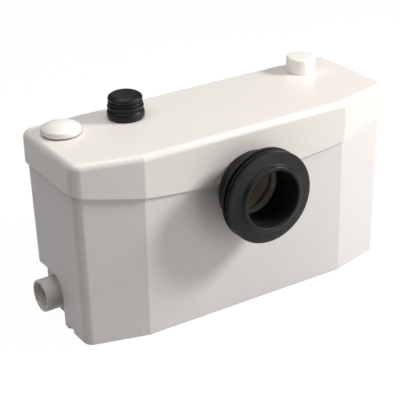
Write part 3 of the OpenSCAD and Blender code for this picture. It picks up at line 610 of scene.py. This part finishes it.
@dataclass
class PanSleeve(TurnedPiece):
    """Rubber sleeve on the pan spigot, with collar, ribs, flange, lip and skirt."""

    name: str = "pan_sleeve"
    body: Body = Body.TANK
    slot: Slot = Slot.RUBBER
    axis: Axis = Axis.TO_PAN
    place: Point = (1.0, -91.0, 184.0)
    node: str | None = "inlet_sleeve"
    steps: int = 160
    ring: bool = True
    spigot_r: float = 43.65
    spigot_end: float = 13.0
    skirt_r: float = 39.0
    skirt_t: float = 1.2
    skirt_end: float = 4.0
    bore_r: float = 40.5
    bore_taper: float = 4.0
    length: float = 54.0
    face: Corner = Corner(57.0, 47.4, 2.0)
    outside: tuple[Band, ...] = (
        Band(54.0, 0.0, 13.6, 1.2, 2.2, taper=1.0),
        Band(50.5, 15.3, 24.6, 0.8, 0.8),
        Band(66.0, 26.0, 30.5, 1.4, 1.1, taper=0.6),
        Band(55.0, 31.6, 35.8, 0.8, 0.8),
        Band(65.5, 36.0, 38.8, 0.9, 0.9, taper=0.3),
        Band(55.0, 39.6, 41.2, 0.5, 0.5),
        Band(65.8, 41.8, 46.0, 0.9, 1.1, taper=0.3),
    )

    # The lip's corners: distances out from the bore and back from the front.
    lip_bends: tuple[Corner, ...] = (
        Corner(8.2, 5.2, 0.6), Corner(6.9, 3.6, 0.4), Corner(6.2, 1.0, 0.8),
        Corner(4.2, 0.0, 0.9), Corner(1.5, 0.0, 0.9), Corner(0.0, 2.2, 1.2),
    )

    def profile(self) -> list[Corner]:
        """Lays out the section of the sleeve's wall.

        Returns:
            The corners from the rear along the outside and back through the bore.
        """
        skirt_out = self.skirt_r + self.skirt_t
        return [
            Corner(self.spigot_r, 0.0, 0.4),
            *(corner for band in self.outside for corner in band.corners()),
            self.face,
            *(
                Corner(self.bore_r + bend.r, self.length - bend.z, bend.rounding)
                for bend in self.lip_bends
            ),
            Corner(self.bore_r, self.spigot_end + self.bore_taper, 1.5),
            Corner(self.skirt_r, self.spigot_end, 1.2),
            Corner(self.skirt_r, self.skirt_end, 0.3),
            Corner(skirt_out, self.skirt_end, 0.3),
            Corner(skirt_out, self.spigot_end, 0.1),
            Corner(self.spigot_r, self.spigot_end),
        ]


@dataclass
class DischargeBoot(TurnedPiece):
    """Closed ribbed rubber boot on the discharge spigot."""

    name: str = "ribbed_boot"
    body: Body = Body.LID
    slot: Slot = Slot.RUBBER
    axis: Axis = Axis.UP
    place: Point = (-115.0, 40.5, LID_TOP)
    node: str | None = "discharge_boot"
    spigot_r: float = 17.15
    height: float = 34.6
    top_r: float = 24.2
    skirt_end: Corner = Corner(23.7, 26.2, 1.0)
    ribs: tuple[Band, ...] = (
        Band(21.9, 25.2, 24.2, 0.4, 0.3),
        Band(24.0, 23.6, 21.6, 0.6, 0.6),
        Band(21.9, 21.0, 20.2, 0.3, 0.3),
        Band(25.3, 19.4, 15.8, 1.1, 1.3, taper=0.3),
    )
    waist: Corner = Corner(23.0, 13.4, 0.7)
    base: Band = Band(26.5, 11.6, 7.5, 1.4, 1.8, taper=1.2)
    foot: Corner = Corner(25.8, 3.2, 2.0)
    foot_r: float = 24.0
    seat: float = 0.05
    roof_under: float = 26.5

    # The crown's corners: distances in from top_r and down from the height.
    crown_bends: tuple[Corner, ...] = (
        Corner(5.6, 0.3, 0.9), Corner(1.6, 2.6, 1.6), Corner(0.0, 5.2, 1.4),
    )

    def profile(self) -> list[Corner]:
        """Lays out the section of the boot's wall.

        Returns:
            The corners from the roof down the outside and up the inside.
        """
        return [
            Corner(0.0, self.height),
            *(
                Corner(self.top_r - bend.r, self.height - bend.z, bend.rounding)
                for bend in self.crown_bends
            ),
            self.skirt_end,
            *(corner for band in self.ribs for corner in band.corners()),
            self.waist,
            *self.base.corners(),
            self.foot,
            Corner(self.foot_r, self.seat, 0.8),
            Corner(self.spigot_r, self.seat, 0.4),
            Corner(self.spigot_r, self.roof_under, 0.8),
            Corner(0.0, self.roof_under),
        ]


@dataclass
class VentCap(TurnedPiece):
    """Domed cap over the charcoal filter, on six short legs."""

    name: str = "vent_dome"
    body: Body = Body.VENT_CAP
    slot: Slot = Slot.CAP
    axis: Axis = Axis.UP
    place: Point = (-214.0, 40.5, LID_TOP)
    node: str | None = "vent_cap"
    rim_r: float = 27.25
    rim_low: float = 2.5
    rim_top: float = 9.6
    rim_draft: float = 0.2
    crown: float = 16.2
    roof_t: float = 2.6
    leg_r: float = 17.7
    leg_t: float = 2.0
    leg_low: float = -6.0
    legs: int = 6
    leg_sweep: float = 28.0
    leg_steps: int = 6
    # The dome's corners: shares of the rim's radius and distances down from the crown.
    dome_bends: tuple[Corner, ...] = (
        Corner(0.34, 0.7, 4.0), Corner(0.66, 2.7, 4.0), Corner(0.88, 5.2, 2.0),
    )

    def profile(self) -> list[Corner]:
        """Lays out the section of the cap's roof and rim.

        Returns:
            The corners from the crown over the rim to the underside.
        """
        inside = self.rim_r - self.roof_t
        return [
            Corner(0.0, self.crown),
            *(
                Corner(bend.r * self.rim_r, self.crown - bend.z, bend.rounding)
                for bend in self.dome_bends
            ),
            Corner(self.rim_r - self.rim_draft, self.rim_top - 0.6, 1.4),
            Corner(self.rim_r, self.rim_low, 0.8),
            Corner(inside, self.rim_low, 0.5),
            Corner(inside, self.rim_top - self.roof_t, 1.0),
            Corner(0.5 * self.rim_r, self.crown - 2.2 * self.roof_t, 2.0),
            Corner(0.0, self.crown - 1.8 * self.roof_t),
        ]

    def trim(self, bm: bmesh.types.BMesh) -> None:
        """Adds the legs that stand on the filter.

        Args:
            bm: The turned cap, still on the origin.
        """
        inner_r = self.leg_r - self.leg_t
        section = (
            (inner_r, self.leg_low), (self.leg_r, self.leg_low),
            (self.leg_r, self.rim_top), (inner_r, self.rim_top),
        )
        for k in range(self.legs):
            start = math.radians(360 * k / self.legs - self.leg_sweep / 2)
            spot = Matrix.Rotation(start, 4, "Z")
            face = bm.faces.new([
                bm.verts.new(spot @ Vector((r * MM, 0.0, z * MM))) for r, z in section
            ])
            bmesh.ops.spin(
                bm, geom=[face, *face.verts, *face.edges], cent=(0, 0, 0), axis=(0, 0, 1),
                angle=math.radians(self.leg_sweep), steps=self.leg_steps,
            )
        bmesh.ops.recalc_face_normals(bm, faces=bm.faces)


@dataclass
class BlankingCap(TurnedPiece):
    """Push-on cap of the upper inlet, with a fine line round its side."""

    name: str = "blanking_cap"
    body: Body = Body.UPPER_CAP
    slot: Slot = Slot.CAP
    axis: Axis = Axis.UP
    place: Point = (186.0, 48.0, LID_TOP)
    node: str | None = "upper_inlet_cap"
    outer_r: float = 21.45
    inner_r: float = 17.65
    lift: float = 0.3
    line_z: float = 11.5
    line_h: float = 0.4
    line_in: float = 0.3
    height: float = 23.5
    edge_in: float = 2.6
    edge_drop: float = 1.6
    roof_t: float = 3.0

    def profile(self) -> list[Corner]:
        """Lays out the section of the cap's roof and side.

        Returns:
            The corners from the roof down the side and up the inside.
        """
        upper_r = self.outer_r - self.line_in
        roof_under = self.height - self.roof_t
        return [
            Corner(0.0, self.height),
            Corner(self.outer_r - self.edge_in, self.height, 0.8),
            Corner(upper_r, self.height - self.edge_drop, 1.2),
            Corner(upper_r, self.line_z + self.line_h, 0.2),
            Corner(self.outer_r, self.line_z, 0.2),
            Corner(self.outer_r, self.lift, 0.6),
            Corner(self.inner_r, self.lift, 0.5),
            Corner(self.inner_r, roof_under, 0.8),
            Corner(0.0, roof_under),
        ]


@dataclass
class InletMouth(TurnedPiece):
    """Rounded end of a side inlet tube with a stepped bore, over the tube itself."""

    body: Body = Body.TANK
    slot: Slot = Slot.SHELL
    steps: int = 112
    ring: bool = True
    tube_r: float = 22.3
    outer_r: float = 23.3
    bore_r: float = 19.6
    step_in: float = 1.4
    step_depth: float = 4.6
    step_slope: float = 0.4
    draft: float = 0.2
    length: float = 31.3

    def profile(self) -> list[Corner]:
        """Lays out the section of the tube's end.

        Returns:
            The corners from the pocket's wall out to the mouth and in.
        """
        inner_r = self.bore_r - self.step_in
        deep_r = inner_r - self.step_in
        first = self.length - self.step_depth
        second = first - self.step_depth
        seat = second - self.step_depth
        return [
            Corner(self.tube_r, 0.0),
            Corner(self.outer_r, 0.0, 0.3),
            Corner(self.outer_r, self.length, 1.4),
            Corner(self.bore_r, self.length, 0.9),
            Corner(self.bore_r - self.draft, first, 0.3),
            Corner(inner_r, first - self.step_slope, 0.3),
            Corner(inner_r - self.draft, second, 0.3),
            Corner(deep_r, second - self.step_slope, 0.3),
            Corner(deep_r, seat, 0.3),
            Corner(self.tube_r, seat),
        ]

    def dress(self, piece: bpy.types.Object, workshop: Workshop) -> None:
        """Adds the tube's own finish, which is warmer than the tank's."""
        workshop.coat(piece, Slot.TUBE)


@dataclass(frozen=True)
class Lamp:
    """Soft square studio lamp, in metres and watts."""

    name: str
    place: Point
    size: float
    power: float
    target: Point = (0.0, 0.0, 0.13)

    def hang(self) -> None:
        """Adds the lamp to the scene, facing its target."""
        light = bpy.data.lights.new(self.name, "AREA")
        light.shape = "SQUARE"
        light.size = self.size
        light.energy = self.power
        lamp = bpy.data.objects.new(self.name, light)
        lamp.location = self.place
        aim = Vector(self.target) - Vector(self.place)
        lamp.rotation_euler = aim.to_track_quat("-Z", "Y").to_euler()
        bpy.context.scene.collection.objects.link(lamp)


@dataclass
class Studio:
    """Plain pale floor, white surround and soft lamps."""

    floor_size: float = 12.0
    floor_z: float = -0.0006
    floor_colour: Colour = (0.40, 0.40, 0.40)
    floor_white: float = 0.88
    floor_glow: float = 1.10
    floor_roughness: float = 0.9
    world_light: float = 0.05
    lamps: tuple[Lamp, ...] = (
        Lamp("key", (1.351, -0.872, 1.137), 0.42, 30.5),
        Lamp("top", (0.00, 0.00, 2.00), 1.20, 10.0),
        Lamp("top_left", (-0.70, -0.10, 1.60), 1.20, 9.0),
        Lamp("back", (0.30, 1.40, 1.20), 0.80, 0.8),
        Lamp("front", (0.70, -1.60, 0.50), 1.00, 6.5),
    )

    def seen_white(self, board: NodeBoard) -> bpy.types.NodeSocket:
        """Finds the rays to which the floor is white.

        Args:
            board: Node tree of the floor.

        Returns:
            1 for rays of the camera, of gloss and of glass, and else 0.
        """
        path = board.add("ShaderNodeLightPath")
        total = path.outputs["Is Camera Ray"]
        for ray in ("Is Glossy Ray", "Is Transmission Ray"):
            either = board.add("ShaderNodeMath", operation="MAXIMUM")
            board.join(total, either.inputs[0])
            board.join(path.outputs[ray], either.inputs[1])
            total = either.outputs["Value"]
        return total

    def floor_material(self) -> bpy.types.Material:
        """Makes the floor, near white to the eye with a faint shadow.

        Returns:
            The floor's material.
        """
        board = NodeBoard("pale_floor")
        board.shader.inputs["Base Color"].default_value = (*self.floor_colour, 1.0)
        board.shader.inputs["Roughness"].default_value = self.floor_roughness
        white = board.add("ShaderNodeEmission")
        white.inputs["Strength"].default_value = self.floor_glow
        blend = board.add("ShaderNodeMixShader")
        share = board.add("ShaderNodeMath", operation="MULTIPLY")
        share.inputs[1].default_value = self.floor_white
        board.join(self.seen_white(board), share.inputs[0])
        board.join(share.outputs["Value"], blend.inputs["Fac"])
        board.join(board.shader.outputs["BSDF"], blend.inputs[1])
        board.join(white.outputs["Emission"], blend.inputs[2])
        output = next(n for n in board.tree.nodes if n.type == "OUTPUT_MATERIAL")
        board.join(blend.outputs["Shader"], output.inputs["Surface"])
        return board.material

    def lay_floor(self) -> None:
        """Lays the floor just under the pump."""
        bm = bmesh.new()
        bmesh.ops.create_grid(bm, x_segments=1, y_segments=1, size=self.floor_size / 2)
        bmesh.ops.translate(bm, vec=(0, 0, self.floor_z), verts=bm.verts)
        mesh = bpy.data.meshes.new("floor")
        bm.to_mesh(mesh)
        bm.free()
        mesh.materials.append(self.floor_material())
        floor = bpy.data.objects.new("floor", mesh)
        bpy.context.scene.collection.objects.link(floor)

    def hang_surround(self) -> None:
        """Sets a soft even light all round, seen as white."""
        world = bpy.data.worlds.new("surround")
        world.use_nodes = True
        bpy.context.scene.world = world
        tree = world.node_tree
        tree.nodes.clear()
        path = tree.nodes.new("ShaderNodeLightPath")
        glow = tree.nodes.new("ShaderNodeBackground")
        glow.inputs["Color"].default_value = (1.0, 1.0, 1.0, 1.0)
        level = tree.nodes.new("ShaderNodeMapRange")
        level.inputs["To Min"].default_value = self.world_light
        level.inputs["To Max"].default_value = 1.0
        output = tree.nodes.new("ShaderNodeOutputWorld")
        tree.links.new(path.outputs["Is Camera Ray"], level.inputs["Value"])
        tree.links.new(level.outputs["Result"], glow.inputs["Strength"])
        tree.links.new(glow.outputs["Background"], output.inputs["Surface"])

    def build(self) -> None:
        """Sets up floor, surround, lamps and the view transform."""
        self.lay_floor()
        self.hang_surround()
        for lamp in self.lamps:
            lamp.hang()
        bpy.context.scene.view_settings.view_transform = "Standard"


@dataclass
class PhotoCamera:
    """Camera at the photograph's angle, in degrees, millimetres and pixels."""

    azimuth: float = -31.82
    elevation: float = 25.98
    roll: float = -1.41
    distance: float = 1779.1
    target: Point = (-24.5, 0.0, 133.45)
    focal_px: float = 1250.8
    image_px: float = 400.0
    sensor: float = 36.0

    def build(self) -> bpy.types.Object:
        """Places the camera and makes it the scene's own.

        Returns:
            The camera.
        """
        turn, lift, tilt = (
            math.radians(a) for a in (self.azimuth, self.elevation, self.roll)
        )
        back = Vector((
            math.sin(turn) * math.cos(lift),
            -math.cos(turn) * math.cos(lift),
            math.sin(lift),
        ))
        level = Vector((math.cos(turn), math.sin(turn), 0.0))
        above = back.cross(level)
        right = level * math.cos(tilt) + above * math.sin(tilt)
        up = above * math.cos(tilt) - level * math.sin(tilt)
        place = (Vector(self.target) + back * self.distance) * MM
        data = bpy.data.cameras.new("photo_camera")
        data.sensor_fit = "HORIZONTAL"
        data.sensor_width = self.sensor
        data.lens = self.focal_px / self.image_px * self.sensor
        data.dof.use_dof = False
        camera = bpy.data.objects.new("photo_camera", data)
        camera.matrix_world = Matrix.Translation(place) @ Matrix(
            (right, up, back)
        ).transposed().to_4x4()
        bpy.context.scene.collection.objects.link(camera)
        bpy.context.scene.camera = camera
        return camera


def main() -> None:
    """Builds the pump's pieces, finishes, studio and camera in order."""
    logging.basicConfig(level=logging.INFO, format="%(name)s: %(message)s")
    PhotoCamera().build()
    Studio().build()
    workshop = Workshop()
    workshop.mix(FINISHES)
    LOG.info("dressed %d carried-over nodes", workshop.coat_nodes())
    shells = (
        MouldedShell("tank", "tank_shell", Body.TANK, Slot.SHELL),
        MouldedShell("lid", "lid_cover", Body.LID, Slot.LID_SHELL),
    )
    turned_pieces = (
        PanSleeve(), DischargeBoot(), VentCap(), BlankingCap(),
        InletMouth("left_inlet_mouth", axis=Axis.TO_LEFT, place=(-231.0, 45.0, 33.0)),
        InletMouth("right_inlet_mouth", axis=Axis.TO_RIGHT, place=(231.0, 45.0, 33.0)),
    )
    for maker in (*shells, *turned_pieces):
        piece = maker.build()
        maker.dress(piece, workshop)
        LOG.info("made %s", piece.name)


if __name__ == "__main__":
    main()
